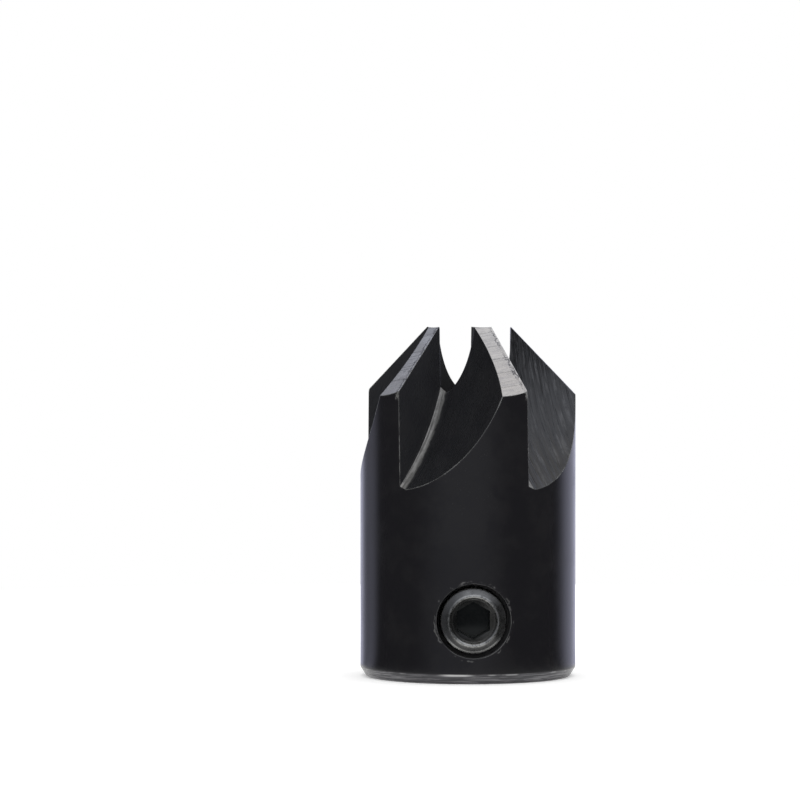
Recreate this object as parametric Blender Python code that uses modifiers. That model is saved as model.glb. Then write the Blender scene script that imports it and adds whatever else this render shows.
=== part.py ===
"""Slip-on drill countersink with a clamping set screw.

A blackened steel sleeve slides over a twist drill and is clamped by a socket set screw.
Its upper end is a toothed countersinking cutter, ground to a ninety degree point.
The body is made as the real one is: a turned blank, flutes cut by a large side milling
cutter, flat relief-ground lands on the teeth, and a radial hole for the set screw.

Units are metres, +Z is up, and the origin is the centre of the flat bottom face.
The set screw points towards -Y.
"""

import math

import bmesh
import bpy
from mathutils import Matrix, Vector

MM = 0.001

# Sleeve
OUTER_DIAMETER = 20.0 * MM
DRILL_DIAMETER = 8.0 * MM
BORE_CLEARANCE = 0.05 * MM
OVERALL_HEIGHT = 32.45 * MM
BASE_CHAMFER_WIDTH = 0.55 * MM
BASE_CHAMFER_HEIGHT = 0.9 * MM
BORE_CHAMFER = 0.4 * MM

# Cutting end
POINT_ANGLE = math.radians(90.0)
TOOTH_COUNT = 5
FIRST_TOOTH_ANGLE = math.radians(227.4)
MOUTH_BREAK = 0.12 * MM
CORNER_ROUND = 0.8 * MM
GRINDING_STOCK = 0.06 * MM
RELIEF_ANGLE = math.radians(10.6)

# Flutes: a side milling cutter whose flat side makes the rake face
RAKE_OFFSET = 0.04 * MM
RAKE_TILT = math.radians(1.1)
MILL_DIAMETER = 45.0 * MM
MILL_CORNER_WIDTH = 0.7 * MM
MILL_CORNER_DEPTH = 0.24 * MM
MILL_CROWN_RADIUS = 28.4 * MM
MILL_CROWN_CENTRE = 0.4 * MM
FLUTE_ROOT_RADIUS = 2.5 * MM
MILL_OVER_TIP = 1.92 * MM

# Set screw and its hole
SCREW_DIAMETER = 6.0 * MM
SCREW_LENGTH = 5.0 * MM
SCREW_HEIGHT = 5.75 * MM
SCREW_RECESS = 0.5 * MM
SCREW_CLEARANCE = 0.35 * MM
SCREW_FACE_CHAMFER = 0.45 * MM
SCREW_POINT_DIAMETER = 4.0 * MM
SOCKET_ACROSS_FLATS = 3.0 * MM
SOCKET_DEPTH = 2.4 * MM
SOCKET_MOUTH_DIAMETER = 4.4 * MM
SOCKET_DRILL_POINT = math.radians(118.0)
PILOT_SHARE = 0.97

# Facets
BODY_SEGMENTS = 120
MILL_SEGMENTS = 200
CROWN_STEPS = 7
CORNER_STEPS = 4
SCREW_SEGMENTS = 64
SMOOTH_LIMIT = math.radians(24.0)

# Sizes that follow from the ones above
OUTER_RADIUS = OUTER_DIAMETER / 2
BORE_RADIUS = (DRILL_DIAMETER + BORE_CLEARANCE) / 2
CONE_SLOPE = 1 / math.tan(POINT_ANGLE / 2)
BLANK_TOP = OVERALL_HEIGHT + GRINDING_STOCK / (1 + CONE_SLOPE)
BLANK_CONE_BASE = BLANK_TOP - CONE_SLOPE * (OUTER_RADIUS - BORE_RADIUS - MOUTH_BREAK)
EDGE_CORNER_HEIGHT = BLANK_CONE_BASE - GRINDING_STOCK
TOOTH_PITCH = 2 * math.pi / TOOTH_COUNT
SCREW_HOLE_RADIUS = SCREW_DIAMETER / 2 + SCREW_CLEARANCE
SCREW_FACE_RADIUS = OUTER_RADIUS - SCREW_RECESS
MILL_WIDTH = OUTER_RADIUS + RAKE_OFFSET + MILL_CORNER_WIDTH
MILL_ARBOR_RADIUS = MILL_DIAMETER / 6

BLACK_OXIDE = (0.012, 0.012, 0.014)
GROUND_STEEL = (0.42, 0.41, 0.40)
SCREW_BLACK = (0.025, 0.025, 0.026)


def clear_scene():
    """Remove every object of the scene."""
    for item in list(bpy.data.objects):
        bpy.data.objects.remove(item, do_unlink=True)


def new_collection(name):
    """Return a fresh collection linked to the scene."""
    collection = bpy.data.collections.new(name)
    bpy.context.scene.collection.children.link(collection)
    return collection


def new_material(name, colour, roughness, metallic):
    """Return a Principled BSDF material."""
    material = bpy.data.materials.new(name)
    material.use_nodes = True
    shader = material.node_tree.nodes["Principled BSDF"]
    shader.inputs["Base Color"].default_value = (*colour, 1.0)
    shader.inputs["Roughness"].default_value = roughness
    shader.inputs["Metallic"].default_value = metallic
    material.diffuse_color = (*colour, 1.0)
    return material


def new_object(name, mesh, collection, material):
    """Put a mesh into a collection as an object with one material."""
    item = bpy.data.objects.new(name, mesh)
    collection.objects.link(item)
    mesh.materials.append(material)
    return item


def turned(name, profile, segments, collection, material):
    """Spin a (radius, height) profile about Z with a Screw modifier.

    A profile that starts and ends on the axis stays open, and any other one is closed.
    """
    mesh = bpy.data.meshes.new(name)
    edges = [(i, i + 1) for i in range(len(profile) - 1)]
    if profile[0][0] > 0.0:
        edges.append((len(profile) - 1, 0))
    mesh.from_pydata([(radius, 0.0, height) for radius, height in profile], edges, [])
    item = new_object(name, mesh, collection, material)
    screw = item.modifiers.new("Turn", "SCREW")
    screw.axis = "Z"
    screw.angle = 2 * math.pi
    screw.steps = segments
    screw.render_steps = segments
    screw.use_merge_vertices = True
    screw.merge_threshold = 0.000001
    screw.use_smooth_shade = True
    return item


def as_cutter(item):
    """Mark an object as a cutter, shown as wire and left out of renders."""
    item.display_type = "WIRE"
    item.hide_render = True
    return item


def cut(item, cutter, keep_cutter_material=False):
    """Subtract a cutter from an object."""
    boolean = item.modifiers.new("Cut " + cutter.name, "BOOLEAN")
    boolean.operation = "DIFFERENCE"
    boolean.solver = "EXACT"
    boolean.object = cutter
    if keep_cutter_material:
        boolean.material_mode = "TRANSFER"


def arc(centre, radius, start, end, steps):
    """Points of an arc in the (radius, height) plane, from start to end angle."""
    points = []
    for i in range(steps + 1):
        angle = start + (end - start) * i / steps
        points.append((centre[0] + radius * math.cos(angle), centre[1] + radius * math.sin(angle)))
    return points


def blank_profile():
    """Outline of the turned blank, down its outer side and up its bore."""
    cone_angle = math.atan(CONE_SLOPE)
    tangent = CORNER_ROUND * math.tan(cone_angle / 2)
    round_centre = (OUTER_RADIUS - CORNER_ROUND, BLANK_CONE_BASE - tangent)
    corner = arc(round_centre, CORNER_ROUND, math.pi / 2 - cone_angle, 0.0, CORNER_STEPS)
    return [
        (BORE_RADIUS + MOUTH_BREAK, BLANK_TOP),
        *corner,
        (OUTER_RADIUS, BASE_CHAMFER_HEIGHT),
        (OUTER_RADIUS - BASE_CHAMFER_WIDTH, 0.0),
        (BORE_RADIUS + BORE_CHAMFER, 0.0),
        (BORE_RADIUS, BORE_CHAMFER),
        (BORE_RADIUS, BLANK_TOP - MOUTH_BREAK),
    ]


def mill_profile():
    """Outline of the side milling cutter, its flat side at height zero."""
    radius = MILL_DIAMETER / 2

    def rim(width):
        return radius - (width - MILL_CROWN_CENTRE) ** 2 / (2 * MILL_CROWN_RADIUS)

    crown = []
    for i in range(CROWN_STEPS + 1):
        width = MILL_WIDTH + (MILL_CORNER_WIDTH - MILL_WIDTH) * i / CROWN_STEPS
        crown.append((rim(width), width))
    return [
        (MILL_ARBOR_RADIUS, MILL_WIDTH),
        *crown,
        (rim(MILL_CORNER_WIDTH) - MILL_CORNER_DEPTH, 0.0),
        (MILL_ARBOR_RADIUS, 0.0),
    ]


def tooth_frame(index):
    """Directions of one rake face: outward along it, ahead of it and up it."""
    angle = FIRST_TOOTH_ANGLE + index * TOOTH_PITCH
    outward = Vector((math.cos(angle), math.sin(angle), 0.0))
    level_ahead = Vector((-math.sin(angle), math.cos(angle), 0.0))
    ahead = level_ahead * math.cos(RAKE_TILT) + Vector((0.0, 0.0, math.sin(RAKE_TILT)))
    upward = outward.cross(ahead)
    return outward, ahead, upward


def rake_origin(ahead):
    """Point where the rake face passes the axis, at the height of the edge corners."""
    return Vector((0.0, 0.0, EDGE_CORNER_HEIGHT)) + ahead * RAKE_OFFSET


def placed(columns, origin):
    """Matrix with the given X, Y and Z directions and origin."""
    matrix = Matrix.Identity(4)
    for i, column in enumerate(columns):
        for j in range(3):
            matrix[j][i] = column[j]
    matrix.translation = origin
    return matrix


def add_mills(collection, material):
    """One milling cutter for each flute, in the place it holds at full depth."""
    mills = []
    first = as_cutter(turned("flute_mill_1", mill_profile(), MILL_SEGMENTS, collection, material))
    for index in range(TOOTH_COUNT):
        mill = first
        if index:
            mill = first.copy()
            mill.name = "flute_mill_%d" % (index + 1)
            collection.objects.link(mill)
        outward, ahead, upward = tooth_frame(index)
        centre = rake_origin(ahead)
        centre += outward * (FLUTE_ROOT_RADIUS + MILL_DIAMETER / 2)
        centre += upward * (OVERALL_HEIGHT + MILL_OVER_TIP - EDGE_CORNER_HEIGHT)
        mill.matrix_world = placed((upward, outward, ahead), centre)
        mills.append(mill)
    return mills


def add_grinders(collection, material):
    """One block for each tooth, whose lower face is the plane of the relief-ground land."""
    size = 2 * OUTER_RADIUS
    mesh = bpy.data.meshes.new("land_grinder")
    block = bmesh.new()
    bmesh.ops.create_cube(block, size=1.0)
    bmesh.ops.translate(block, verts=block.verts, vec=(0.0, 0.0, 0.5))
    bmesh.ops.scale(block, verts=block.verts, vec=(size, size, size / 2))
    block.to_mesh(mesh)
    block.free()
    mesh.materials.append(material)
    grinders = []
    for index in range(TOOTH_COUNT):
        outward, ahead, upward = tooth_frame(index)
        edge = (upward * CONE_SLOPE - outward).normalized()
        square = ahead.cross(edge)
        back = -ahead * math.cos(RELIEF_ANGLE) - square * math.sin(RELIEF_ANGLE)
        normal = edge.cross(back)
        corner = rake_origin(ahead) + outward * OUTER_RADIUS
        middle = corner + edge * (OUTER_RADIUS - BORE_RADIUS) / 2
        grinder = bpy.data.objects.new("land_grinder_%d" % (index + 1), mesh)
        collection.objects.link(grinder)
        grinder.matrix_world = placed((edge, normal.cross(edge), normal), middle)
        grinders.append(as_cutter(grinder))
    return grinders


def add_screw_drill(collection, material):
    """Drill for the set screw's hole, from inside the bore out through one wall."""
    outer_end = OUTER_RADIUS + SCREW_HOLE_RADIUS
    inner_end = BORE_RADIUS / 2
    profile = [
        (0.0, outer_end),
        (SCREW_HOLE_RADIUS, outer_end),
        (SCREW_HOLE_RADIUS, inner_end),
        (0.0, inner_end),
    ]
    drill = as_cutter(turned("screw_hole_drill", profile, SCREW_SEGMENTS, collection, material))
    drill.location = (0.0, 0.0, SCREW_HEIGHT)
    drill.rotation_euler = (math.pi / 2, 0.0, 0.0)
    return drill


def make_body(parts, cutters, black, bright):
    """The sleeve with its teeth, bore and radial screw hole."""
    body = turned("countersink_body", blank_profile(), BODY_SEGMENTS, parts, black)
    for mill in add_mills(cutters, black):
        cut(body, mill)
    for grinder in add_grinders(cutters, bright):
        cut(body, grinder, keep_cutter_material=True)
    cut(body, add_screw_drill(cutters, black))
    return body


def screw_profile():
    """Outline of the set screw, its socket face at height zero and its point below."""
    radius = SCREW_DIAMETER / 2
    point_radius = SCREW_POINT_DIAMETER / 2
    point_chamfer = radius - point_radius
    return [
        (0.0, 0.0),
        (radius - SCREW_FACE_CHAMFER, 0.0),
        (radius, -SCREW_FACE_CHAMFER),
        (radius, -SCREW_LENGTH + point_chamfer),
        (point_radius, -SCREW_LENGTH),
        (0.0, -SCREW_LENGTH),
    ]


def socket_profile():
    """Outline of the socket's countersunk mouth, pilot hole and drill point."""
    mouth = SOCKET_MOUTH_DIAMETER / 2
    pilot = SOCKET_ACROSS_FLATS / 2 * PILOT_SHARE
    overrun = SCREW_FACE_CHAMFER
    return [
        (0.0, overrun),
        (mouth + overrun, overrun),
        (pilot, pilot - mouth),
        (pilot, -SOCKET_DEPTH),
        (0.0, -SOCKET_DEPTH - pilot / math.tan(SOCKET_DRILL_POINT / 2)),
    ]


def add_broach(collection, material):
    """Six-sided prism of the socket, with two of its flats upright."""
    corner_radius = SOCKET_ACROSS_FLATS / math.sqrt(3)
    mesh = bpy.data.meshes.new("socket_broach")
    prism = bmesh.new()
    bmesh.ops.create_cone(
        prism, cap_ends=True, segments=6, radius1=corner_radius, radius2=corner_radius,
        depth=2 * SOCKET_DEPTH,
    )
    prism.to_mesh(mesh)
    prism.free()
    return as_cutter(new_object("socket_broach", mesh, collection, material))


def make_screw(parts, cutters, black):
    """The set screw: its origin is on its axis, at the socket face."""
    screw = turned("set_screw", screw_profile(), SCREW_SEGMENTS, parts, black)
    drill = as_cutter(turned("socket_drill", socket_profile(), SCREW_SEGMENTS, cutters, black))
    broach = add_broach(cutters, black)
    cut(screw, drill)
    cut(screw, broach)
    for item in (screw, drill, broach):
        item.location = (0.0, -SCREW_FACE_RADIUS, SCREW_HEIGHT)
        item.rotation_euler = (math.pi / 2, 0.0, 0.0)
    return screw


def finish(item):
    """Apply the modifiers and shade the round faces smooth."""
    depsgraph = bpy.context.evaluated_depsgraph_get()
    mesh = bpy.data.meshes.new_from_object(item.evaluated_get(depsgraph))
    item.modifiers.clear()
    item.data = mesh
    mesh.name = item.name
    mesh.shade_smooth()
    mesh.set_sharp_from_angle(angle=SMOOTH_LIMIT)


def main():
    clear_scene()
    parts = new_collection("drill_countersink")
    cutters = new_collection("cutters")
    black = new_material("black_oxide_steel", BLACK_OXIDE, 0.38, 0.6)
    bright = new_material("ground_steel", GROUND_STEEL, 0.35, 1.0)
    screw_black = new_material("black_oxide_screw", SCREW_BLACK, 0.42, 0.6)
    body = make_body(parts, cutters, black, bright)
    screw = make_screw(parts, cutters, screw_black)
    bpy.context.view_layer.update()
    finish(body)
    finish(screw)


main()
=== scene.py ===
"""Looks of a slip-on drill countersink: a blackened steel sleeve with five ground teeth and a set screw.

The sleeve and the screw are built again at a finer resolution, by the same turning, milling,
grinding and drilling steps as the solids that they replace, with their real threads. Each face
remembers the tool that made it, so that its marks run the way that tool moved.

Lengths are metres, +Z is up, and the set screw points towards -Y.
"""

import math

import bmesh
import bpy
import numpy as np
from mathutils import Matrix, Vector

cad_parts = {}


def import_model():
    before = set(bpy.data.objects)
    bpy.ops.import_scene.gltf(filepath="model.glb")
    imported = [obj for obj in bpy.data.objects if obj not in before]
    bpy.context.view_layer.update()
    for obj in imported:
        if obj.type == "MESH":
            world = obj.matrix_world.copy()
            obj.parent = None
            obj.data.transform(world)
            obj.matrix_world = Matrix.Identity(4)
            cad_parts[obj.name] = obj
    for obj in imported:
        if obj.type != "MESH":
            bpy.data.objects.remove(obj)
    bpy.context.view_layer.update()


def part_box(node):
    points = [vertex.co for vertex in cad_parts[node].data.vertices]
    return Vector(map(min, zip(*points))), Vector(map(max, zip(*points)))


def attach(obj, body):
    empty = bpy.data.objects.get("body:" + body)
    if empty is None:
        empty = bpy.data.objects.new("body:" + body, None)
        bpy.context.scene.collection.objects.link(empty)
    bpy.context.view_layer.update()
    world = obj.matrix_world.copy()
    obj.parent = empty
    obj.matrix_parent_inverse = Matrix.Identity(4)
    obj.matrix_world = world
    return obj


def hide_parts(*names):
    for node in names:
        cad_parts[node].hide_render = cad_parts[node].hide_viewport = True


MM = 0.001

# Sleeve
BORE_RADIUS = 4.025 * MM
BASE_CHAMFER_WIDTH = 0.55 * MM
BASE_CHAMFER_HEIGHT = 0.9 * MM
BASE_EDGE_ROUND = 0.3 * MM
BORE_CHAMFER = 0.4 * MM
MOUTH_BREAK = 0.12 * MM
CORNER_ROUND = 0.8 * MM
HEIGHT_MARGIN = 0.001 * MM
ARC_PER_DEGREE = 0.17 * MM

# Teeth
TOOTH_COUNT = 5
FIRST_TOOTH_ANGLE = math.radians(227.4)
POINT_ANGLE = math.radians(90.0)
GRINDING_STOCK = 0.06 * MM
RELIEF_ANGLE = math.radians(10.6)
RAKE_OFFSET = 0.04 * MM
RAKE_TILT = math.radians(1.1)

# Side milling cutter of the flutes
MILL_DIAMETER = 45.0 * MM
MILL_ARBOR_RADIUS = 7.5 * MM
MILL_CORNER_WIDTH = 0.7 * MM
MILL_CORNER_DEPTH = 0.24 * MM
MILL_CROWN_RADIUS = 28.4 * MM
MILL_CROWN_CENTRE = 0.4 * MM
MILL_FLAT_SLACK = 0.1 * MM
MILL_OVER_TIP = 1.92 * MM
FLUTE_ROOT_RADIUS = 2.5 * MM
FLUTE_RELIEF = 0.15 * MM
RAKE_RELIEF = 0.02 * MM

# Set screw, M6 by 5, and its hole
SCREW_RADIUS = 3.0 * MM
SCREW_LENGTH = 5.0 * MM
SCREW_HEIGHT = 5.75 * MM
SCREW_RECESS = 0.5 * MM
SCREW_POINT_RADIUS = 2.0 * MM
SCREW_POINT_CHAMFER = 0.1 * MM
THREAD_PITCH = 1.0 * MM
THREAD_DEPTH = 0.6 * MM
THREAD_TOP = -0.6 * MM
THREAD_CREST_SHARE = 0.07
THREAD_FLANK_SHARE = 0.34
HOLE_CREST_RADIUS = 3.08 * MM
HOLE_THREAD_DEPTH = 0.42 * MM
HOLE_MOUTH_RADIUS = 3.4 * MM
HOLE_MOUTH_DEPTH = 1.35 * MM
SOCKET_ACROSS_FLATS = 3.0 * MM
SOCKET_DEPTH = 2.4 * MM
SOCKET_RIM_RADIUS = 2.26 * MM
SOCKET_CONE_SLOPE = 0.8
PILOT_SHARE = 0.97
DRILL_POINT_ANGLE = math.radians(118.0)
DRILL_OVERRUN = 1.0 * MM

# Rounded face of the set screw, in millimetres: out and up, from the socket's rim and from the side
SCREW_LIP = ((-0.24, -0.24), (-0.15, -0.1), (-0.06, -0.02), (0.02, 0.0), (0.1, -0.03), (0.17, -0.08))
SCREW_EDGE = ((-0.14, -0.2), (-0.05, -0.24), (-0.01, -0.32))

# Camera, as the photograph was taken
CAMERA_DISTANCE = 381.5 * MM
CAMERA_HEIGHT = 33.46 * MM
CAMERA_BEARING = math.radians(266.8)
CAMERA_LENS = 184.6
CAMERA_SENSOR = 36.0
CAMERA_NEAREST = 10 * MM
VIEW_CENTRE_LEFT = 6.32 * MM
VIEW_CENTRE_HEIGHT = 25.64 * MM

# Floor and lamp
FLOOR_RADIUS = 130 * MM
FLOOR_SEGMENTS = 128
FLOOR_COLOUR = (0.86, 0.86, 0.86)
FLOOR_GLOW = 0.26
LAMP_SIZE = 500 * MM
LAMP_POWER = 1.2
LAMP_PLACE = (50 * MM, 100 * MM, 600 * MM)

# Screen that the black surfaces reflect. A step has two bearings in degrees and the change between
# them: of brightness near the floor, of brightness higher up, or of where the pale part starts.
SCREEN_RADIUS = 500 * MM
SCREEN_FOOT_RADIUS = 15 * MM
SCREEN_FOOT_LEVEL = 0.2 * MM
SCREEN_ROWS = 24
SCREEN_SEGMENTS = 180
SCREEN_LOW_STEPS = (
    (-107.0, -121.0, 0.66), (-126.0, -136.0, -0.24), (-140.0, -158.0, 0.58), (105.0, 131.0, 1.0),
    (-62.0, -20.0, 0.42), (8.0, 48.0, -0.42),
)
SCREEN_HIGH_STEPS = ((-95.0, -55.0, 1.0), (45.0, 100.0, -0.22), (-128.0, -144.0, 0.58))
SCREEN_LIFT_STEPS = ((-60.0, -30.0, 4.0), (20.0, 50.0, -12.0))

# Tools by which faces are told apart, and how finely they are built
SLEEVE_TOOL_COUNT, SCREW_TOOL_COUNT = 6, 2
TURNED, RAKE, FLOOR, ROOT, LAND, HOLE = range(SLEEVE_TOOL_COUNT)
OUTSIDE, INSIDE = range(SCREW_TOOL_COUNT)
FLUTE_SPACING = 50.0
SLEEVE_SEGMENTS = 360
MILL_SEGMENTS = 720
MILL_CROWN_ROWS = 24
SCREW_SEGMENTS = 144
THREAD_ROWS = 20
ROUND_STEPS = 5
CORNER_STEPS = 8
WELD_DISTANCE = 1e-8
SMOOTH_LIMIT = math.radians(24.0)
SCREW_SHARP_ANGLE = math.radians(28.0)


def arc(centre, radius, start, end, steps):
    """Points of an arc in the (radius, height) plane, from start to end angle."""
    angles = np.linspace(start, end, steps + 1)
    return [(centre[0] + radius * math.cos(a), centre[1] + radius * math.sin(a)) for a in angles]


def rounded(outline, corner, radius):
    """The outline with one of its corners, given by its index, rounded off."""
    before, point, after = (np.array(outline[i]) for i in (corner - 1, corner, corner + 1))
    back = (before - point) / np.linalg.norm(before - point)
    on = (after - point) / np.linalg.norm(after - point)
    reach = radius / math.tan(math.acos(back @ on) / 2)
    share = np.linspace(0.0, 1.0, ROUND_STEPS + 1)[:, None]
    start, end = point + back * reach, point + on * reach
    curve = (1 - share) ** 2 * start + 2 * share * (1 - share) * point + share ** 2 * end
    return outline[:corner] + [tuple(p) for p in curve] + outline[corner + 1:]


def sleeve_outline(outer_radius, height):
    """Outline of the turned blank, down its outer side and up its bore, and its corner's height."""
    slope = 1 / math.tan(POINT_ANGLE / 2)
    top = height + GRINDING_STOCK / (1 + slope)
    cone_base = top - slope * (outer_radius - BORE_RADIUS - MOUTH_BREAK)
    cone_angle = math.atan(slope)
    centre = (outer_radius - CORNER_ROUND, cone_base - CORNER_ROUND * math.tan(cone_angle / 2))
    outline = [
        (BORE_RADIUS + MOUTH_BREAK, top),
        *arc(centre, CORNER_ROUND, math.pi / 2 - cone_angle, 0.0, CORNER_STEPS),
        (outer_radius, BASE_CHAMFER_HEIGHT),
        (outer_radius - BASE_CHAMFER_WIDTH, 0.0),
        (BORE_RADIUS + BORE_CHAMFER, 0.0),
        (BORE_RADIUS, BORE_CHAMFER),
        (BORE_RADIUS, top - MOUTH_BREAK),
    ]
    side_foot = len(outline) - 5
    outline = rounded(outline, side_foot + 1, BASE_EDGE_ROUND)
    return rounded(outline, side_foot, BASE_EDGE_ROUND), cone_base - GRINDING_STOCK


def crown_radius(width):
    """Radius of the milling cutter's crowned rim at a height over its flat side."""
    return MILL_DIAMETER / 2 - (width - MILL_CROWN_CENTRE) ** 2 / (2 * MILL_CROWN_RADIUS)


def mill_outline(width):
    """Outline of the side milling cutter, its flat side at height zero, and its rows' tools."""
    widths = np.linspace(width, MILL_CORNER_WIDTH, MILL_CROWN_ROWS)
    crown = [(crown_radius(w), w) for w in widths]
    corner = (crown[-1][0] - MILL_CORNER_DEPTH, 0.0)
    tools = [FLOOR] * len(crown) + [ROOT, RAKE, RAKE]
    return [(MILL_ARBOR_RADIUS, width), *crown, corner, (MILL_ARBOR_RADIUS, 0.0)], tools


def spun(radius, height, tools, open_ends=False):
    """Mesh of an outline spun about Z, where radius and height may differ round each row."""
    rows, segments = radius.shape
    angle = np.arange(segments) * 2 * math.pi / segments
    points = np.stack([radius * np.cos(angle), radius * np.sin(angle), height], axis=-1)
    mesh = bmesh.new()
    ring = [[mesh.verts.new(p) for p in row] for row in points]
    for i in range(rows - 1 if open_ends else rows):
        here, below = ring[i], ring[(i + 1) % rows]
        for j in range(segments):
            k = (j + 1) % segments
            face = mesh.faces.new((here[j], below[j], below[k], here[k]))
            face.material_index = tools[i]
    bmesh.ops.remove_doubles(mesh, verts=mesh.verts, dist=WELD_DISTANCE)
    bmesh.ops.dissolve_degenerate(mesh, edges=mesh.edges, dist=WELD_DISTANCE)
    return mesh


def round_rows(outline, segments):
    """Radius and height of each row of a plain (radius, height) outline, the same all round."""
    points = np.array(outline)
    shape = (len(outline), segments)
    return np.broadcast_to(points[:, :1], shape), np.broadcast_to(points[:, 1:], shape)


def turned(outline, segments, tools, open_ends=False):
    """Mesh of a plain (radius, height) outline spun about Z."""
    return spun(*round_rows(outline, segments), tools, open_ends)


def thread(height, segments, depth):
    """How far a right-hand thread is cut in, for each height and each segment round the axis."""
    turn = np.arange(segments) / segments
    phase = (height[:, None] / THREAD_PITCH - turn) % 1.0
    from_crest = np.abs(phase - 0.5)
    return depth * np.clip((from_crest - THREAD_CREST_SHARE) / THREAD_FLANK_SHARE, 0.0, 1.0)


def to_object(name, mesh, tool_count, matrix=None):
    """Turn a bmesh into an object, moved into place, with one material slot for each tool."""
    if matrix is not None:
        mesh.transform(matrix)
    data = bpy.data.meshes.new(name)
    mesh.to_mesh(data)
    mesh.free()
    for _ in range(tool_count):
        data.materials.append(None)
    item = bpy.data.objects.new(name, data)
    bpy.context.scene.collection.objects.link(item)
    return item


def cut_away(item, cutters):
    """Subtract the cutters one after the other, keep their tool numbers, and remove them."""
    for cutter in cutters:
        modifier = item.modifiers.new("Cut", "BOOLEAN")
        modifier.operation = "DIFFERENCE"
        modifier.solver = "EXACT"
        modifier.material_mode = "INDEX"
        modifier.object = cutter
    depsgraph = bpy.context.evaluated_depsgraph_get()
    data = bpy.data.meshes.new_from_object(item.evaluated_get(depsgraph))
    item.modifiers.clear()
    item.data = data
    data.name = item.name
    for cutter in cutters:
        bpy.data.objects.remove(cutter, do_unlink=True)


def tooth_frame(index):
    """Directions of one rake face: outward along it, ahead of it and up it."""
    angle = FIRST_TOOTH_ANGLE + index * 2 * math.pi / TOOTH_COUNT
    outward = Vector((math.cos(angle), math.sin(angle), 0.0))
    level_ahead = Vector((-math.sin(angle), math.cos(angle), 0.0))
    ahead = level_ahead * math.cos(RAKE_TILT) + Vector((0.0, 0.0, math.sin(RAKE_TILT)))
    return outward, ahead, outward.cross(ahead)


def placed(columns, origin):
    """Matrix with the given X, Y and Z directions and origin."""
    matrix = Matrix.Identity(4)
    for i, column in enumerate(columns):
        for j in range(3):
            matrix[j][i] = column[j]
    matrix.translation = origin
    return matrix


def mill_places(height, corner_height):
    """Place of the milling cutter at the full depth of each flute, its axis along local Z."""
    places = []
    for index in range(TOOTH_COUNT):
        outward, ahead, upward = tooth_frame(index)
        centre = Vector((0.0, 0.0, corner_height)) + ahead * RAKE_OFFSET
        centre += outward * (FLUTE_ROOT_RADIUS + MILL_DIAMETER / 2)
        centre += upward * (height + MILL_OVER_TIP - corner_height)
        places.append(placed((upward, outward, ahead), centre))
    return places


def grinder_places(outer_radius, corner_height):
    """Place of the grinding plane of each land: X up the cutting edge, Y across, Z out of it."""
    slope = 1 / math.tan(POINT_ANGLE / 2)
    places = []
    for index in range(TOOTH_COUNT):
        outward, ahead, upward = tooth_frame(index)
        edge = (upward * slope - outward).normalized()
        square = ahead.cross(edge)
        back = -ahead * math.cos(RELIEF_ANGLE) - square * math.sin(RELIEF_ANGLE)
        normal = edge.cross(back)
        corner = Vector((0.0, 0.0, corner_height)) + ahead * RAKE_OFFSET + outward * outer_radius
        middle = corner + edge * (outer_radius - BORE_RADIUS) / 2
        places.append(placed((edge, normal.cross(edge), normal), middle))
    return places


def grinding_block(size):
    """Block whose lower face is the grinding plane."""
    mesh = bmesh.new()
    bmesh.ops.create_cube(mesh, size=1.0)
    bmesh.ops.translate(mesh, verts=mesh.verts, vec=(0.0, 0.0, 0.5))
    bmesh.ops.scale(mesh, verts=mesh.verts, vec=(size, size, size / 2))
    for face in mesh.faces:
        face.material_index = LAND
    return mesh


def hole_tap(outer_radius):
    """Cutter of the threaded hole, from inside the bore out through a plain mouth."""
    inner, mouth = BORE_RADIUS / 2, outer_radius - HOLE_MOUTH_DEPTH
    lead = HOLE_MOUTH_RADIUS - HOLE_CREST_RADIUS
    rows = int((mouth - inner) / THREAD_PITCH * THREAD_ROWS)
    height = np.concatenate([
        [outer_radius + HOLE_MOUTH_RADIUS] * 2, [mouth],
        np.linspace(mouth - lead, inner, rows), [inner],
    ])
    radius = HOLE_CREST_RADIUS + HOLE_THREAD_DEPTH - thread(height, SCREW_SEGMENTS, HOLE_THREAD_DEPTH)
    radius[0] = radius[-1] = 0.0
    radius[1:3] = HOLE_MOUTH_RADIUS
    return spun(radius, np.broadcast_to(height[:, None], radius.shape), [HOLE] * len(height))


def build_sleeve(outline, outer_radius, height, corner_height):
    """The sleeve as one mesh whose faces know their tools, and the places of those tools."""
    blank = turned(outline, SLEEVE_SEGMENTS, [TURNED] * len(outline))
    sleeve = to_object("toothed_sleeve", blank, SLEEVE_TOOL_COUNT)
    mill, mill_tools = mill_outline(outer_radius + RAKE_OFFSET + MILL_CORNER_WIDTH)
    mills = mill_places(height, corner_height)
    grinders = grinder_places(outer_radius, corner_height)
    radial = Matrix.Translation((0.0, 0.0, SCREW_HEIGHT)) @ Matrix.Rotation(math.pi / 2, 4, "X")
    cuts = [("mill", turned(mill, MILL_SEGMENTS, mill_tools), place) for place in mills]
    cuts += [("grinder", grinding_block(2 * outer_radius), place) for place in grinders]
    cuts.append(("tap", hole_tap(outer_radius), radial))
    cut_away(sleeve, [to_object(name, mesh, SLEEVE_TOOL_COUNT, place) for name, mesh, place in cuts])
    return sleeve, mill, mills, grinders


def radius_and_height(points):
    """Distance from Z and height of each point."""
    return np.stack([np.hypot(points[:, 0], points[:, 1]), points[:, 2]], axis=1)


def unit(vectors):
    """The vectors at length one."""
    return vectors / np.linalg.norm(vectors, axis=1)[:, None]


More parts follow.
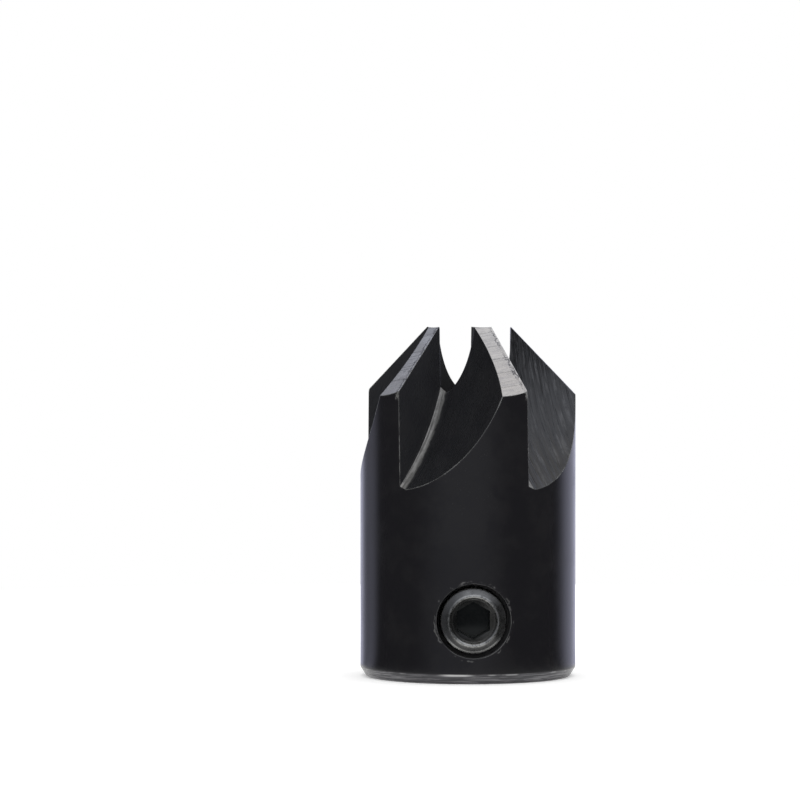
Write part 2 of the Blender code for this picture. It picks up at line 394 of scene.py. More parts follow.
def outline_normals(local, centres, outline):
    """Smooth normals of a spun outline at local points, each on the face with the given centre.

    The outline goes down its outer side. Its slight corners shade smooth.
    """
    points = np.array(outline)
    steps = np.roll(points, -1, axis=0) - points
    lengths = np.linalg.norm(steps, axis=1)
    sides = np.stack([-steps[:, 1], steps[:, 0]], axis=1) / lengths[:, None]
    before, after = np.roll(sides, 1, axis=0), np.roll(sides, -1, axis=0)
    limit = math.cos(SMOOTH_LIMIT)
    smooth_start = (before * sides).sum(1)[:, None] > limit
    smooth_end = (after * sides).sum(1)[:, None] > limit
    start = unit(np.where(smooth_start, before + sides, sides))
    end = unit(np.where(smooth_end, after + sides, sides))

    def place_on(positions):
        """How far along each step of the outline, and how far from it."""
        offset = radius_and_height(positions)[:, None, :] - points[None]
        share = (offset * steps).sum(2) / lengths ** 2
        gap = np.linalg.norm(offset - np.clip(share, 0, 1)[..., None] * steps, axis=2)
        return share, gap

    nearest = np.argmin(place_on(centres)[1], axis=1)
    share = np.clip(place_on(local)[0][np.arange(len(local)), nearest], 0, 1)[:, None]
    normal = start[nearest] * (1 - share) + end[nearest] * share
    return unit(np.concatenate([unit(local[:, :2]) * normal[:, :1], normal[:, 1:]], axis=1))


def face_data(mesh):
    """Arrays of a mesh: corner points, corner faces, face centres, face normals and tools."""
    count, faces = len(mesh.loops), len(mesh.polygons)
    vertex = np.empty(count, np.int64)
    mesh.loops.foreach_get("vertex_index", vertex)
    points = np.empty(len(mesh.vertices) * 3)
    mesh.vertices.foreach_get("co", points)
    total = np.empty(faces, np.int64)
    mesh.polygons.foreach_get("loop_total", total)
    centre, normal = np.empty(faces * 3), np.empty(faces * 3)
    mesh.polygons.foreach_get("center", centre)
    mesh.polygons.foreach_get("normal", normal)
    tool = np.empty(faces, np.int64)
    mesh.polygons.foreach_get("material_index", tool)
    face = np.repeat(np.arange(faces), total)
    return points.reshape(-1, 3)[vertex], face, centre.reshape(-1, 3), normal.reshape(-1, 3), tool


def into(place, points):
    """Points in the local coordinates of a place."""
    inverse = np.array(place.inverted())
    return points @ inverse[:3, :3].T + inverse[:3, 3]


def out_of(place, directions):
    """Local directions of a place, in the row frame."""
    return directions @ np.array(place)[:3, :3].T


def mark_tools(sleeve, outline, mill, mills, grinders):
    """Give the sleeve its true normals and a UV map in millimetres, along and across the marks."""
    mesh = sleeve.data
    corner, face, centre, face_normal, tool = face_data(mesh)
    normal = face_normal[face]
    along = np.degrees(np.arctan2(corner[:, 1], corner[:, 0])) * ARC_PER_DEGREE
    marks = np.stack([along, corner[:, 2]], axis=1)

    lathe = np.flatnonzero(tool[face] == TURNED)
    normal[lathe] = outline_normals(corner[lathe], centre[face[lathe]], outline)

    gaps = []
    for place in mills:
        reach, rise = radius_and_height(into(place, centre)).T
        gap = np.where(tool == RAKE, np.abs(rise), np.abs(reach - crown_radius(rise)))
        gaps.append(np.where(rise < -MILL_FLAT_SLACK, np.inf, gap))
    flute = np.argmin(gaps, axis=0)
    milled = np.isin(tool, (RAKE, FLOOR, ROOT))
    for index, place in enumerate(mills):
        own = np.flatnonzero((milled & (flute == index))[face])
        local = into(place, corner[own])
        normal[own] = -out_of(place, outline_normals(local, into(place, centre[face[own]]), mill))
        reach, rise = radius_and_height(local).T
        swept = np.arctan2(local[:, 0], -local[:, 1]) * MILL_DIAMETER / 2
        across = np.where(tool[face[own]] == RAKE, reach, rise)
        marks[own] = np.stack([swept + index * FLUTE_SPACING * MM, across], axis=1)

    tooth = np.argmin([np.abs(into(place, centre)[:, 2]) for place in grinders], axis=0)
    for index, place in enumerate(grinders):
        own = np.flatnonzero(((tool == LAND) & (tooth == index))[face])
        local = into(place, corner[own])
        marks[own] = np.stack([local[:, 1] + index * FLUTE_SPACING * MM, local[:, 0]], axis=1)

    layer = mesh.uv_layers.new(name="tool_marks")
    layer.data.foreach_set("uv", (marks / MM).astype(np.float32).ravel())
    mesh.shade_smooth()
    threads = np.flatnonzero(tool[face] == HOLE)
    normal[threads] = np.array([c.vector for c in mesh.corner_normals])[threads]
    mesh.normals_split_custom_set(normal.tolist())


def screw_blank():
    """The threaded screw before its socket is cut, its face up at height zero, and its lip."""
    face = [(SOCKET_RIM_RADIUS + out * MM, up * MM) for out, up in SCREW_LIP]
    face += [(SCREW_RADIUS + out * MM, up * MM) for out, up in SCREW_EDGE]
    lip = face[0]
    foot_radius, foot = SCREW_POINT_RADIUS + SCREW_POINT_CHAMFER, -SCREW_LENGTH
    ends = [(foot_radius, foot), (SCREW_POINT_RADIUS, foot), (0.0, foot), (0.0, lip[1])]

    thread_foot = -SCREW_LENGTH + SCREW_POINT_CHAMFER
    rows = int((THREAD_TOP - thread_foot) / THREAD_PITCH * THREAD_ROWS)
    height = np.linspace(THREAD_TOP, thread_foot, rows)
    side = SCREW_RADIUS - thread(height, SCREW_SEGMENTS, THREAD_DEPTH)
    side = np.minimum(side, (foot_radius + (height + SCREW_LENGTH))[:, None])
    threaded = side, np.broadcast_to(height[:, None], side.shape)

    above, below = round_rows(face, SCREW_SEGMENTS), round_rows(ends, SCREW_SEGMENTS)
    radius, level = (np.concatenate(parts) for parts in zip(above, threaded, below))
    mesh = spun(radius, level, [OUTSIDE] * len(radius))
    return to_object("socket_set_screw", mesh, SCREW_TOOL_COUNT), lip


def socket_cutters(lip):
    """Drill with a conical mouth and hexagon broach, which make the socket."""
    pilot = SOCKET_ACROSS_FLATS / 2 * PILOT_SHARE
    drill = [
        (0.0, DRILL_OVERRUN), (lip[0], DRILL_OVERRUN), lip,
        (pilot, lip[1] - (lip[0] - pilot) * SOCKET_CONE_SLOPE), (pilot, -SOCKET_DEPTH),
        (0.0, -SOCKET_DEPTH - pilot / math.tan(DRILL_POINT_ANGLE / 2)),
    ]
    drilled = turned(drill, SCREW_SEGMENTS, [OUTSIDE] * 3 + [INSIDE] * 3)
    broach = bmesh.new()
    across_corners = SOCKET_ACROSS_FLATS / math.sqrt(3)
    bmesh.ops.create_cone(
        broach, cap_ends=True, segments=6, radius1=across_corners, radius2=across_corners,
        depth=2 * SOCKET_DEPTH,
    )
    for flat in broach.faces:
        flat.material_index = INSIDE
    return [
        to_object("socket_drill", drilled, SCREW_TOOL_COUNT),
        to_object("socket_broach", broach, SCREW_TOOL_COUNT),
    ]


def build_screw(outer_radius):
    """The set screw, threaded, with its hexagon socket and its chamfered ends, in its hole."""
    screw, lip = screw_blank()
    cut_away(screw, socket_cutters(lip))
    seat = Matrix.Translation((0.0, -(outer_radius - SCREW_RECESS), SCREW_HEIGHT))
    screw.data.transform(seat @ Matrix.Rotation(math.pi / 2, 4, "X"))
    screw.data.shade_smooth()
    screw.data.set_sharp_from_angle(angle=SCREW_SHARP_ANGLE)
    return screw


class Shading:
    """A material under construction, with short ways to add and link its nodes."""

    def __init__(self, name):
        self.material = bpy.data.materials.new(name)
        self.material.use_nodes = True
        self.tree = self.material.node_tree
        self.surface = self.tree.nodes["Principled BSDF"]

    def fill(self, socket, value):
        """Link another node's output to a socket, or set its value. A colour has no alpha."""
        if isinstance(value, bpy.types.NodeSocket):
            self.tree.links.new(value, socket)
        elif socket.type == "RGBA":
            socket.default_value = (*value, 1.0)
        else:
            socket.default_value = value

    def add(self, kind, inputs=None, **settings):
        """Add a node with its settings and its inputs, by name or number."""
        node = self.tree.nodes.new(kind)
        for key, value in settings.items():
            setattr(node, key, value)
        for key, value in (inputs or {}).items():
            self.fill(node.inputs[key], value)
        return node

    def math(self, operation, a, b=0.0):
        """Result of a Math node."""
        return self.add("ShaderNodeMath", {0: a, 1: b}, operation=operation).outputs[0]

    def combined(self, operation, first, *others):
        """Several values taken together, one after the other."""
        for other in others:
            first = self.math(operation, first, other)
        return first

    def total(self, *values):
        """Sum of several values."""
        return self.combined("ADD", *values)

    def product(self, *values):
        """Product of several values."""
        return self.combined("MULTIPLY", *values)

    def greatest(self, *values):
        """Greatest of several values."""
        return self.combined("MAXIMUM", *values)

    def less(self, a, b):
        """One value less another."""
        return self.math("SUBTRACT", a, b)

    def apart(self, a, b):
        """How far one value is from another, either way."""
        return self.math("ABSOLUTE", self.less(a, b))

    def remap(self, value, low, high, to_low=0.0, to_high=1.0):
        """Value taken from one range to another, smoothly and clamped."""
        inputs = {"Value": value, 1: low, 2: high, 3: to_low, 4: to_high}
        node = self.add("ShaderNodeMapRange", inputs, interpolation_type="SMOOTHSTEP")
        return node.outputs["Result"]

    def mix(self, factor, a, b):
        """Colour between a and b."""
        node = self.add("ShaderNodeMix", {0: factor, 6: a, 7: b}, data_type="RGBA")
        return node.outputs[2]

    def parts(self, vector):
        """X, Y and Z of a vector."""
        return self.add("ShaderNodeSeparateXYZ", {0: vector}).outputs

    def scaled(self, vector, scale):
        """Vector multiplied by a scale along each axis."""
        node = self.add("ShaderNodeVectorMath", {0: vector, 1: scale}, operation="MULTIPLY")
        return node.outputs[0]

    def moved(self, vector, offset):
        """Vector with an offset added."""
        return self.add("ShaderNodeVectorMath", {0: vector, 1: offset}, operation="ADD").outputs[0]

    def noise(self, vector, scale, detail, roughness):
        """Grey noise, from about 0.3 to 0.7."""
        inputs = {"Vector": vector, "Scale": scale, "Detail": detail, "Roughness": roughness}
        return self.add("ShaderNodeTexNoise", inputs).outputs["Fac"]

    def streaks(self, vector, scale, detail, roughness, offset=None):
        """Noise with its own scale along each axis, from another part of it if there's an offset."""
        if offset:
            vector = self.moved(vector, offset)
        return self.noise(self.scaled(vector, scale), 1.0, detail, roughness)

    def radius(self, vector, plane=(1.0, 1.0, 0.0)):
        """Distance from an axis, by default from the bore's."""
        flat = self.scaled(vector, plane)
        node = self.add("ShaderNodeVectorMath", {0: flat}, operation="LENGTH")
        return node.outputs["Value"]

    def surface_position(self):
        """Position on the object in millimetres."""
        position = self.add("ShaderNodeTexCoord").outputs["Object"]
        return self.scaled(position, (1 / MM,) * 3)

    def tool_marks(self):
        """Coordinates in millimetres, X along the marks and Y across them."""
        return self.add("ShaderNodeUVMap", uv_map="tool_marks").outputs["UV"]

    def edge(self, width):
        """The rounded normal near edges, and how strongly it turns there, from 0 to 1."""
        rounded_normal = self.add("ShaderNodeBevel", {"Radius": width}, samples=6).outputs[0]
        inputs = {0: rounded_normal, 1: self.add("ShaderNodeNewGeometry").outputs["Normal"]}
        dot = self.add("ShaderNodeVectorMath", inputs, operation="DOT_PRODUCT").outputs["Value"]
        return rounded_normal, self.remap(dot, 0.995, 0.93)

    def bump(self, height, distance, normal):
        """Normal bent by a height map with the given real depth."""
        inputs = {"Height": height, "Distance": distance, "Normal": normal, "Strength": 1.0}
        return self.add("ShaderNodeBump", inputs).outputs[0]

    def set(self, **inputs):
        """Fill the surface shader's inputs. An underscore stands for a space."""
        for key, value in inputs.items():
            self.fill(self.surface.inputs[key.replace("_", " ")], value)

    def replace_surface(self, shader):
        """Put another shader in the surface shader's place."""
        self.tree.nodes.remove(self.surface)
        output = self.tree.nodes["Material Output"].inputs["Surface"]
        self.tree.links.new(shader.outputs[0], output)


def from_screw_axis(s, place):
    """Distance from the axis of the set screw, in millimetres."""
    return s.radius(s.moved(place, (0.0, 0.0, -SCREW_HEIGHT / MM)), (1.0, 0.0, 1.0))


def wear_patches(s, place):
    """Large soft patches, by which wear is heavier in some places than in others."""
    return s.noise(place, 0.55, 2.0, 0.5)


def broken_wear(s, place, patches):
    """How much of a worn edge's bare metal shows: flecks, in heavier and lighter patches."""
    flecks = s.remap(s.noise(place, 4.0, 3.0, 0.7), 0.32, 0.5, 0.1, 1.0)
    return s.product(flecks, s.remap(patches, 0.42, 0.58, 0.35, 1.0))


def body_haze_and_painted_reflection(s, place):
    """Cloudy haziness from handling, with a painted reflection: a lighter column up the middle of the
    front.
    """
    x, y, z = s.parts(place)
    clouds = s.remap(s.noise(place, 0.3, 5.0, 0.6), 0.42, 0.66)
    wander = s.remap(s.noise(place, 0.45, 3.0, 0.55), 0.3, 0.7, -2.0, 2.0)
    from_middle = s.math("ABSOLUTE", s.total(x, wander, 0.6))
    # The column is a painted reflection of light from the front, not a mark of handling.
    column = s.product(
        s.remap(from_middle, 4.2, 0.6), s.remap(y, 0.0, -6.0), s.remap(z, 8.0, 16.0, 0.2, 0.85)
    )
    return s.greatest(s.product(clouds, 0.8), column)


def hole_burr(s, place, from_hole, front):
    """Thin, wandering and broken line of raised metal round the mouth of the screw hole."""
    wander = s.remap(s.noise(place, 1.1, 4.0, 0.7), 0.3, 0.7, 0.05, 0.3)
    line = s.remap(s.apart(from_hole, wander), 0.09, 0.02)
    return s.product(line, front, s.remap(s.noise(place, 1.0, 3.0, 0.6), 0.5, 0.6), 0.3)


def corner_burr(s, place, corner_height):
    """Nicked strip of bare metal beside each rake face, just below the outer end of its land."""
    x, y, z = s.parts(place)
    margin = 0.3
    turn = s.less(s.math("ARCTAN2", y, x), FIRST_TOOTH_ANGLE - margin)
    turn = s.less(s.math("FLOORED_MODULO", turn, 2 * math.pi / TOOTH_COUNT), margin)
    nicked = s.remap(s.noise(place, 3.0, 3.0, 0.7), 0.4, 0.6, -0.03, 0.0)
    strip = s.remap(s.less(turn, nicked), -0.014, -0.004)
    return s.product(strip, s.remap(z, corner_height - 0.9, corner_height - 0.2))


def bright_foot(s, place, lines, patches, front):
    """Colour of the turned chamfer at the foot, with a broken line and one chip at its top."""
    x, _, z = s.parts(place)
    streaks = s.streaks(place, (0.4, 0.4, 7.0), 3.0, 0.6, offset=(8.0, 3.0, 5.0))
    shine = s.product(s.remap(lines, 0.4, 0.62), s.remap(streaks, 0.42, 0.6, 0.15, 1.0))
    bright = s.mix(shine, (0.06, 0.059, 0.064), (0.25, 0.247, 0.258))
    chip = s.product(s.remap(s.apart(x, -1.6), 1.9, 0.5), front)
    off_line = s.apart(z, BASE_CHAMFER_HEIGHT / MM - 0.04)
    line = s.remap(off_line, s.remap(chip, 0.0, 1.0, 0.11, 0.2), 0.04)
    line = s.product(line, s.greatest(s.product(s.remap(patches, 0.5, 0.64), 0.4), chip))
    return s.mix(line, bright, (0.6, 0.6, 0.6))


def black_oxide_turned(corner_height):
    """Satin black oxide over fine turning lines, with hazy patches and a painted reflection, worn edges,
    burrs and a bright foot.
    """
    s = Shading("black_oxide_turned")
    place = s.surface_position()
    _, y, z = s.parts(place)
    haze_and_painted_reflection = body_haze_and_painted_reflection(s, place)
    grain = s.noise(place, 7.0, 4.0, 0.65)
    lines = s.streaks(place, (0.2, 0.2, 22.0), 2.0, 0.55)
    patches = wear_patches(s, place)
    broken = broken_wear(s, place, patches)
    rounded_normal, edge = s.edge(0.13 * MM)
    outside = s.remap(s.radius(place), 6.0, 7.0)
    front = s.remap(y, 0.0, -1.0)
    from_hole = s.less(from_screw_axis(s, place), HOLE_MOUTH_RADIUS / MM)
    worn = s.greatest(
        s.product(edge, broken, outside, s.remap(from_hole, 0.1, 0.4, 0.55, 1.0)),
        hole_burr(s, place, from_hole, front),
        s.product(corner_burr(s, place, corner_height), outside, broken),
    )
    # Lighter where hazy, and lighter up the middle of the front as a painted reflection.
    black = s.mix(haze_and_painted_reflection, (0.0105, 0.0102, 0.0120), (0.0138, 0.0133, 0.0148))
    foot_top = BASE_CHAMFER_HEIGHT / MM
    foot = s.remap(z, foot_top + 0.05, foot_top - 0.05)
    black = s.mix(foot, black, bright_foot(s, place, lines, patches, front))
    black = s.mix(outside, (0.035, 0.035, 0.037), black)
    s.set(Base_Color=s.mix(worn, black, (0.28, 0.28, 0.275)), Metallic=s.product(worn, 0.5))
    satin = s.total(s.remap(grain, 0.3, 0.7, 0.16, 0.2), s.product(haze_and_painted_reflection, 0.09))
    s.set(Roughness=satin, IOR=1.32)
    relief = s.total(s.product(lines, 0.6), s.product(grain, 0.3))
    s.set(Normal=s.bump(relief, 0.0005 * MM, rounded_normal))
    return s.material


def black_oxide_milled(name, tone, hazy_tone, relief, ior):
    """Black oxide over milling marks: ragged, mottled streaks along the cutter's sweep.

    They are coarser in some flutes than in others.
    """
    s = Shading(name)
    marks = s.tool_marks()
    place = s.surface_position()
    flute = s.math("ROUND", s.math("DIVIDE", s.parts(marks)[0], FLUTE_SPACING))
    coarse = s.remap(s.math("SINE", s.product(flute, math.pi / 4)), 0.0, 0.7, 0.04, 1.0)
    sweep = s.add("ShaderNodeTexNoise", {
        "Vector": s.scaled(marks, (0.2, 1.9, 1.0)), "Scale": 1.0, "Detail": 2.0, "Roughness": 0.5,
        "Distortion": 0.3,
    }).outputs["Fac"]
    gouge = s.remap(s.streaks(marks, (0.26, 3.2, 1.0), 2.0, 0.5), 0.52, 0.7)
    line = s.streaks(marks, (0.12, 5.0, 1.0), 1.0, 0.5, offset=(2.0, 7.0, 0.0))
    line = s.product(s.remap(line, 0.63, 0.68), coarse)
    mottle = s.streaks(marks, (0.9, 1.5, 1.0), 5.0, 0.7)
    # Lighter streaks along the sweep: rubbed oxide, and a painted highlight on the milling marks.
    rubbed = s.streaks(marks, (0.26, 2.8, 1.0), 2.0, 0.5, offset=(9.0, 4.0, 0.0))
    mottled = s.remap(mottle, 0.4, 0.58, 0.25, 1.0)
    rubbed = s.product(s.remap(rubbed, 0.52, 0.66), coarse, mottled, relief / FLUTE_RELIEF)
    dull = s.product(s.remap(mottle, 0.47, 0.36), coarse, 0.5)
    rounded_normal, edge = s.edge(0.12 * MM)
    outside = s.remap(s.radius(place), 5.0, 6.0)
    worn = s.product(edge, broken_wear(s, place, wear_patches(s, place)), outside)

    hazy = s.remap(s.noise(place, 0.5, 4.0, 0.6), 0.38, 0.62)
    # Base colour lighter along those streaks, partly rubbed oxide and partly painted highlight.
    black = s.mix(rubbed, s.mix(hazy, tone, hazy_tone), (0.042, 0.043, 0.047))
    black = s.mix(s.greatest(s.product(line, 0.4), dull), black, (0.002, 0.002, 0.002))
    s.set(Base_Color=s.mix(worn, black, (0.28, 0.28, 0.27)), Metallic=s.product(worn, 0.4))
    uneven = s.product(s.remap(sweep, 0.35, 0.65, -0.05, 0.07), s.greatest(coarse, 0.3))
    s.set(Roughness=s.total(uneven, 0.27), IOR=ior)
    depth = s.total(s.product(gouge, -0.2), s.product(line, -0.05), sweep)
    s.set(Normal=s.bump(s.product(depth, coarse), relief, rounded_normal))
    return s.material


def flute_root():
    """Root of the flute, rubbed brighter on its rake side, with streaks along the sweep."""
    s = Shading("flute_root_burnished")
    marks = s.tool_marks()
    streaks = s.streaks(marks, (0.2, 6.0, 1.0), 4.0, 0.65)
    blotches = s.noise(marks, 1.1, 5.0, 0.72)
    rounded_normal, _ = s.edge(0.06 * MM)
    tone = s.product(s.remap(streaks, 0.35, 0.6), s.remap(blotches, 0.35, 0.6, 0.35, 1.0))
    rubbed = s.mix(tone, (0.10, 0.098, 0.095), (0.4, 0.395, 0.385))
    across = s.total(s.parts(marks)[1], s.remap(blotches, 0.3, 0.7, -0.09, 0.09))
    s.set(Base_Color=s.mix(s.remap(across, 0.72, 0.4), (0.018, 0.018, 0.018), rubbed))
    s.set(Roughness=s.remap(streaks, 0.3, 0.7, 0.42, 0.54), Metallic=0.5)
    s.set(Normal=s.bump(streaks, 0.01 * MM, rounded_normal))
    return s.material


def ground_land():
    """Bright ground steel: fine straight grinding lines, cloudy patches and a nicked, burred edge with a
    painted highlight along it.
    """
    s = Shading("ground_land")
    marks = s.tool_marks()
    place = s.surface_position()
    fine = s.streaks(marks, (0.05, 13.0, 1.0), 3.0, 0.6)
    bands = s.streaks(marks, (0.04, 0.9, 1.0), 2.0, 0.5)
    deep = s.streaks(marks, (0.05, 4.6, 1.0), 1.0, 0.4, offset=(7.0, 3.0, 0.0))
    stain = s.streaks(marks, (1.3, 2.6, 1.0), 4.0, 0.65)
    clouds = s.noise(place, 0.9, 4.0, 0.6)
    speckle = s.noise(place, 5.0, 4.0, 0.7)
    scratch = s.product(s.remap(deep, 0.6, 0.63), s.remap(speckle, 0.36, 0.5))

    behind = s.less(s.math("MODULO", s.total(s.parts(marks)[0], 1.0), FLUTE_SPACING), 1.0)
    behind = s.total(behind, s.remap(s.noise(place, 2.6, 4.0, 0.75), 0.3, 0.7, -0.2, 0.2))
    heavy = s.remap(s.noise(s.moved(place, (1.0, 6.0, 2.0)), 0.6, 2.0, 0.5), 0.36, 0.56, 0.15, 1.0)
    nick = s.product(s.remap(s.apart(behind, 0.24), 0.12, 0.05), heavy)
    # A light line just behind the cutting edge: burred metal, and a painted highlight of the edge.
    burr_and_painted_highlight = s.remap(behind, 0.14, 0.08)

    ground = s.mix(s.remap(s.radius(place), 4.5, 9.0), (0.75, 0.75, 0.76), (0.68, 0.66, 0.65))
    for factor, colour in (
        (s.remap(clouds, 0.36, 0.62, 0.0, 0.5), (0.76, 0.74, 0.72)),
        (s.remap(bands, 0.4, 0.6, 0.0, 0.35), (0.88, 0.87, 0.85)),
        (s.remap(fine, 0.35, 0.65, 0.0, 0.4), (0.47, 0.47, 0.48)),
        (s.remap(speckle, 0.48, 0.62, 0.0, 0.15), (0.36, 0.36, 0.38)),
        (s.remap(stain, 0.5, 0.62, 0.0, 0.28), (0.38, 0.38, 0.42)),
        (s.product(scratch, 0.45), (0.16, 0.16, 0.16)),
        (s.product(burr_and_painted_highlight, 0.5), (0.86, 0.86, 0.85)),
        (s.product(nick, 0.8), (0.08, 0.08, 0.09)),
    ):
        ground = s.mix(factor, ground, colour)
    s.set(Base_Color=ground, Metallic=1.0, Roughness=s.remap(clouds, 0.3, 0.7, 0.24, 0.34))
    depth = s.total(
        s.product(fine, 0.5), s.product(speckle, 0.25), s.product(scratch, -1.0),
        s.product(nick, -3.0),
    )
    rounded_normal, _ = s.edge(0.03 * MM)
    s.set(Normal=s.bump(depth, 0.002 * MM, rounded_normal))
    return s.material


def black_oxide_thread():
    """Black oxide inside the threaded hole, painted a lighter grey to lift the shade there."""
    s = Shading("black_oxide_thread")
    grain = s.noise(s.surface_position(), 6.0, 4.0, 0.6)
    rounded_normal, edge = s.edge(0.06 * MM)
    # Painted light: greyer than black oxide so the shaded thread shows, lighter still on worn edges.
    s.set(Base_Color=s.mix(edge, (0.05, 0.05, 0.052), (0.1, 0.1, 0.1)))
    s.set(Roughness=s.remap(grain, 0.3, 0.7, 0.35, 0.5), IOR=1.4)
    s.set(Normal=s.bump(grain, 0.004 * MM, rounded_normal))
    return s.material


def black_oxide_screw():
    """Black oxide on the set screw: worn edges, and painted highlights round its socket, above and below
    it, and on its countersink's right.
    """
    s = Shading("black_oxide_screw")
    place = s.surface_position()
    x, _, z = s.parts(place)
    grain = s.noise(place, 3.0, 5.0, 0.65)
    rounded_normal, edge = s.edge(0.1 * MM)
    out = from_screw_axis(s, place)
    above = s.less(z, SCREW_HEIGHT / MM)
    leaning = s.total(x, s.product(above, -0.1))
    beside = s.math("DIVIDE", s.math("ABSOLUTE", leaning), out)
    lower = s.remap(above, -1.0, -2.2)
    rim_radius, side_radius = SOCKET_RIM_RADIUS / MM, SCREW_RADIUS / MM

    # Painted highlight above and below the socket, weaker at the sides and weakest on the left, with a
    # darker painted gap low down.
    painted_highlight_gap = s.product(s.remap(s.apart(out, rim_radius + 0.36), 0.26, 0.08), lower, 0.75)
    rubbed = s.remap(beside, 0.15, 0.85, 1.0, s.remap(x, -1.0, 1.5, 0.14, 0.4))
    rubbed = s.product(rubbed, s.less(1.0, painted_highlight_gap))
    # Worn edges, and painted highlights: the rim round the socket, brightest above and below it, and a
    # thin arc near the outer edge low down.
    worn = s.greatest(
        s.product(edge, s.remap(grain, 0.35, 0.6)),
        s.product(
            s.remap(s.apart(out, rim_radius), 0.2, 0.08), s.remap(grain, 0.35, 0.55, 0.25, 1.0),
            s.remap(beside, 0.3, 0.9, 1.0, 0.3),
        ),
        s.product(
            s.remap(out, side_radius - 0.28, side_radius - 0.18), lower,
            s.remap(grain, 0.3, 0.5, 0.5, 1.0),
        ),
    )
    face = s.remap(s.noise(place, 1.5, 4.0, 0.6), 0.3, 0.6, 0.45, 1.0)
    grey = s.mix(s.product(face, rubbed), (0.05, 0.05, 0.05), (0.22, 0.219, 0.214))
    bright = s.mix(s.product(worn, 0.8), grey, (0.46, 0.46, 0.44))
    # Painted highlight: the socket's countersink is lighter towards the right.
    cone_with_painted_highlight = s.mix(s.remap(leaning, 0.2, 1.6), (0.0065, 0.007, 0.007), (0.028, 0.028, 0.027))
    outside_cone = s.remap(out, rim_radius - 0.42, rim_radius - 0.2)
    s.set(Base_Color=s.mix(outside_cone, cone_with_painted_highlight, bright), Metallic=s.product(outside_cone, 0.9))
    s.set(Roughness=s.remap(grain, 0.3, 0.7, 0.24, 0.36), IOR=1.4)
    s.set(Normal=s.bump(grain, 0.004 * MM, rounded_normal))
    return s.material


def black_oxide_socket():
    """Dull black oxide inside the socket, with dust on its lower walls."""
    s = Shading("black_oxide_socket")
    place = s.surface_position()
    grain = s.noise(place, 3.0, 4.0, 0.6)
    black = s.mix(s.remap(grain, 0.35, 0.65), (0.010, 0.0125, 0.0135), (0.016, 0.018, 0.019))
    dust = s.remap(s.less(s.parts(place)[2], SCREW_HEIGHT / MM), -0.3, -1.1, 0.0, 0.8)
    s.set(Base_Color=s.mix(dust, black, (0.040, 0.043, 0.043)))
    s.set(Roughness=s.remap(grain, 0.3, 0.7, 0.4, 0.55), IOR=1.18)
    return s.material


def add_floor():
    """Round white floor. It keeps the shadow and is as white as the background round it."""
    mesh = bmesh.new()
    bmesh.ops.create_circle(mesh, cap_ends=True, segments=FLOOR_SEGMENTS, radius=FLOOR_RADIUS)
    floor = to_object("floor", mesh, 1)
    s = Shading("floor_white")
    path = s.add("ShaderNodeLightPath").outputs
    seen = s.greatest(
        path["Is Camera Ray"], path["Is Glossy Ray"], path["Is Transmission Ray"]
    )
    paper = s.add("ShaderNodeBsdfDiffuse", {"Color": FLOOR_COLOUR})
    glow = s.add("ShaderNodeEmission", {"Strength": s.product(seen, FLOOR_GLOW)})
    s.replace_surface(s.add("ShaderNodeAddShader", {0: paper.outputs[0], 1: glow.outputs[0]}))
    floor.data.materials[0] = s.material


def add_world():
    """White surroundings for what is seen in them, and even light for the rest."""
    world = bpy.data.worlds.new("studio")
    bpy.context.scene.world = world
    world.use_nodes = True
    background = world.node_tree.nodes["Background"]
    background.inputs["Color"].default_value = (1.0, 1.0, 1.0, 1.0)
    background.inputs["Strength"].default_value = 1.0


def screen_directions(s, outer_radius):
    """Bearing and rise of each place on the screen, in degrees, seen from the object.

    The bearing is zero towards the camera. It leans so that its lines look upright in a round
    mirror of the sleeve's size.
    """
    place = s.add("ShaderNodeTexCoord").outputs["Object"]
    turned_round = s.add(
        "ShaderNodeVectorRotate", {"Vector": place, "Angle": -CAMERA_BEARING}, rotation_type="Z_AXIS"
    ).outputs[0]
    x, y, z = s.parts(turned_round)
    bearing = s.math("ARCTAN2", y, x)
    nearness = s.math("DIVIDE", outer_radius, s.radius(place, (1.0, 1.0, 1.0)))
    lean = s.math("ARCSINE", s.product(nearness, s.math("SINE", s.product(bearing, 0.5))))
    rise = s.math("ARCTAN2", z, s.radius(place))
    degrees = 180 / math.pi
    return s.product(s.total(bearing, lean), degrees), s.product(rise, degrees)


def screen_steps(s, bearing, steps):
    """Value that goes up or down at each step from one bearing to another."""
    return s.total(*(s.remap(bearing, start, end, 0.0, change) for start, end, change in steps))


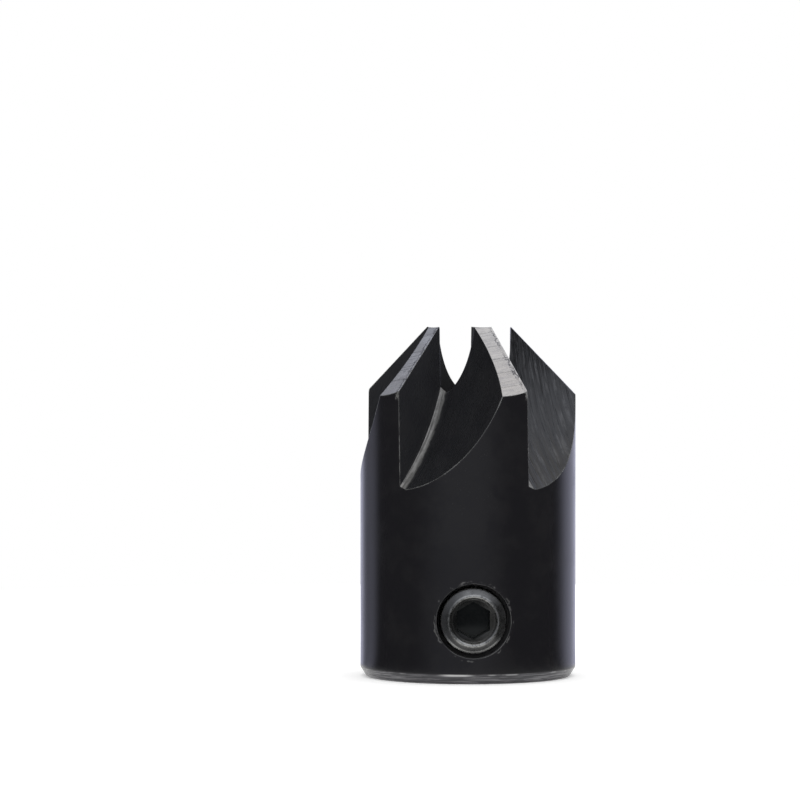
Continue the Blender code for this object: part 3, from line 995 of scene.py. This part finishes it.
def add_screen(outer_radius):
    """Dome of dark and pale cards round the object, as a dark shiny object is photographed.

    Only reflections see it. Near the floor it is dark round the front and white at the back.
    Higher up it is pale.
    """
    dome = arc((0.0, 0.0), SCREEN_RADIUS, math.pi / 2, 0.0, SCREEN_ROWS)
    foot = [(SCREEN_RADIUS, SCREEN_FOOT_LEVEL), (SCREEN_FOOT_RADIUS, SCREEN_FOOT_LEVEL)]
    outline = dome[:-1] + foot
    wall = turned(outline, SCREEN_SEGMENTS, [0] * len(outline), open_ends=True)
    screen = to_object("reflection_screen", wall, 1)
    s = Shading("screen_graded")
    bearing, rise = screen_directions(s, outer_radius)

    low = s.product(screen_steps(s, bearing, SCREEN_LOW_STEPS), s.remap(rise, 12.0, 28.0, 1.0, 0.0))
    zenith = s.remap(rise, 58.0, 78.0)
    high = s.product(screen_steps(s, bearing, SCREEN_HIGH_STEPS), s.less(1.0, zenith))
    high = s.total(high, s.product(zenith, 0.68))
    lift = s.total(rise, screen_steps(s, bearing, SCREEN_LIFT_STEPS))
    high = s.product(high, s.remap(lift, 8.0, 40.0))

    sides = s.remap(s.math("ABSOLUTE", bearing), 100.0, 118.0)
    sides = s.product(sides, s.remap(rise, 10.0, 26.0, 1.0, 0.15))
    tint = s.mix(sides, (0.91, 0.948, 1.05), (0.91, 0.925, 1.17))
    tint = s.mix(s.remap(rise, 48.0, 70.0), tint, (0.985, 0.97, 0.965))
    s.replace_surface(s.add("ShaderNodeEmission", {"Strength": s.total(low, high), "Color": tint}))
    screen.data.materials[0] = s.material
    screen.visible_camera = False
    screen.visible_diffuse = False
    screen.visible_shadow = False
    screen.visible_transmission = False


def add_lamp():
    """Large soft lamp overhead, for the shadow on the floor."""
    lamp = bpy.data.lights.new("overhead_softbox", "AREA")
    lamp.shape = "SQUARE"
    lamp.size = LAMP_SIZE
    lamp.energy = LAMP_POWER
    item = bpy.data.objects.new("overhead_softbox", lamp)
    item.location = LAMP_PLACE
    item.rotation_euler = (-item.location).to_track_quat("-Z", "Y").to_euler()
    item.visible_glossy = False
    bpy.context.scene.collection.objects.link(item)


def add_camera():
    """The photograph's camera."""
    data = bpy.data.cameras.new("camera")
    data.lens = CAMERA_LENS
    data.sensor_width = CAMERA_SENSOR
    data.clip_start = CAMERA_NEAREST
    camera = bpy.data.objects.new("camera", data)
    bpy.context.scene.collection.objects.link(camera)
    bpy.context.scene.camera = camera
    towards = Vector((math.cos(CAMERA_BEARING), math.sin(CAMERA_BEARING), 0.0))
    left = towards.cross(Vector((0.0, 0.0, 1.0)))
    camera.location = towards * CAMERA_DISTANCE + Vector((0.0, 0.0, CAMERA_HEIGHT))
    aim = left * VIEW_CENTRE_LEFT + Vector((0.0, 0.0, VIEW_CENTRE_HEIGHT))
    camera.rotation_euler = (aim - camera.location).to_track_quat("-Z", "Y").to_euler()


def main():
    """Dress the frame, light it and look at it."""
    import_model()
    low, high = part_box("countersink_body")
    outer_radius, height = (high.x - low.x) / 2, high.z - HEIGHT_MARGIN

    outline, corner_height = sleeve_outline(outer_radius, height)
    sleeve, *tools = build_sleeve(outline, outer_radius, height, corner_height)
    mark_tools(sleeve, outline, *tools)
    finishes = {
        TURNED: black_oxide_turned(corner_height / MM),
        RAKE: black_oxide_milled(
            "black_oxide_rake", (0.0155, 0.0157, 0.0180), (0.0178, 0.0180, 0.0200), RAKE_RELIEF, 1.4
        ),
        FLOOR: black_oxide_milled(
            "black_oxide_flute", (0.0095, 0.0096, 0.0112), (0.0120, 0.0120, 0.0135), FLUTE_RELIEF,
            1.62,
        ),
        ROOT: flute_root(),
        LAND: ground_land(),
        HOLE: black_oxide_thread(),
    }
    for tool, material in finishes.items():
        sleeve.data.materials[tool] = material
    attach(sleeve, "sleeve")
    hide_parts("countersink_body")

    screw = build_screw(outer_radius)
    screw.data.materials[OUTSIDE] = black_oxide_screw()
    screw.data.materials[INSIDE] = black_oxide_socket()
    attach(screw, "screw")
    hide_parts("set_screw")

    add_floor()
    add_world()
    add_screen(outer_radius)
    add_lamp()
    add_camera()
    bpy.context.scene.view_settings.view_transform = "Standard"


main()
